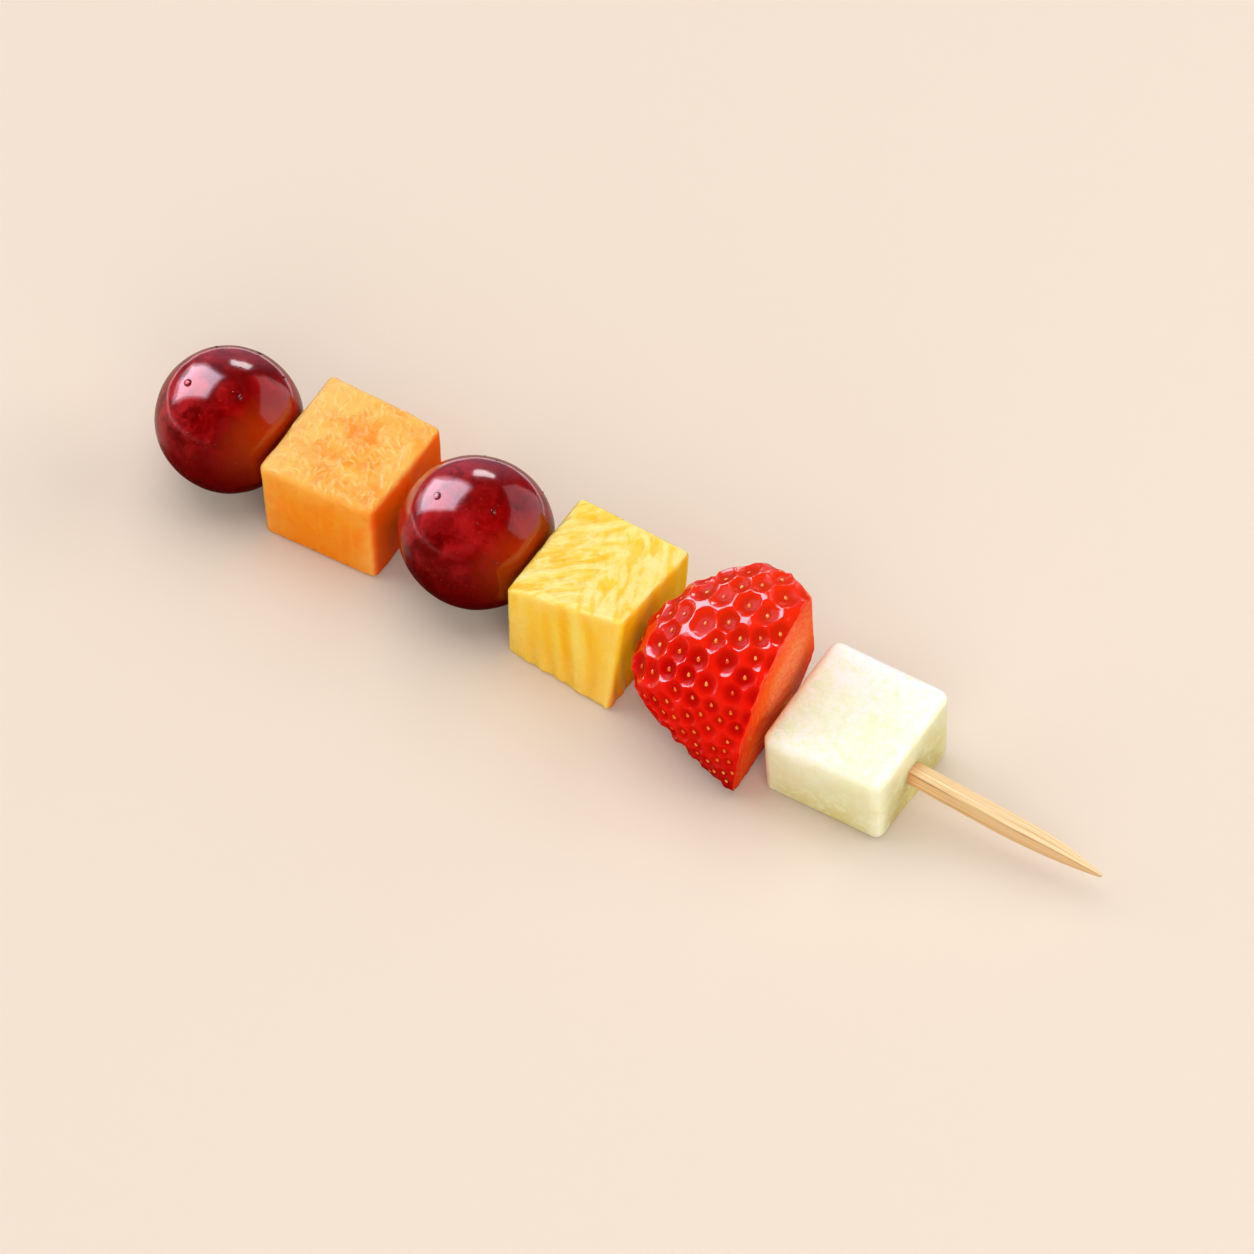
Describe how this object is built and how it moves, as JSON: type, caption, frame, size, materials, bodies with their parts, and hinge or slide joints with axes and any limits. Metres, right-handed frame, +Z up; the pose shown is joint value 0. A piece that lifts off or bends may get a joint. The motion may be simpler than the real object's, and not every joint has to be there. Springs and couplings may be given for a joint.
{
  "type": "fruit skewer",
  "caption": "Fruit skewer with grapes, cubes of orange melon, pineapple and pale melon, and a sliced strawberry on a squared bamboo stick.",
  "frame": {"origin": "on the flat base of the pineapple cube, at table height, straight under the stick", "axes": "+X along the stick toward its point, +Z up, +Y across the skewer to the left of that direction"},
  "size_m": [0.1503, 0.0242, 0.0253],
  "materials": {
    "bamboo": "split bamboo, pale tan, fine grain along its length, dry and satin",
    "grape_skin": "wet red grape skin, deep burgundy clouded with lighter red, slightly clear, glossy",
    "cantaloupe_flesh": "wet cut orange melon flesh, slightly clear, fine wet grain on the cut",
    "pineapple_flesh": "wet cut pineapple flesh, golden yellow with fibres and darker hollows",
    "strawberry_skin": "bright red glossy skin with sunken yellow seeds, and pale pink cut flesh",
    "honeydew_flesh": "wet cut pale green melon flesh, slightly clear, frosty on the cut"
  },
  "bodies": {
    "root": {"bamboo_stick": "bamboo", "end_grape": "grape_skin", "cantaloupe_cube": "cantaloupe_flesh", "middle_grape": "grape_skin", "pineapple_cube": "pineapple_flesh", "strawberry": "strawberry_skin", "honeydew_cube": "honeydew_flesh"}
  },
  "joints": []
}
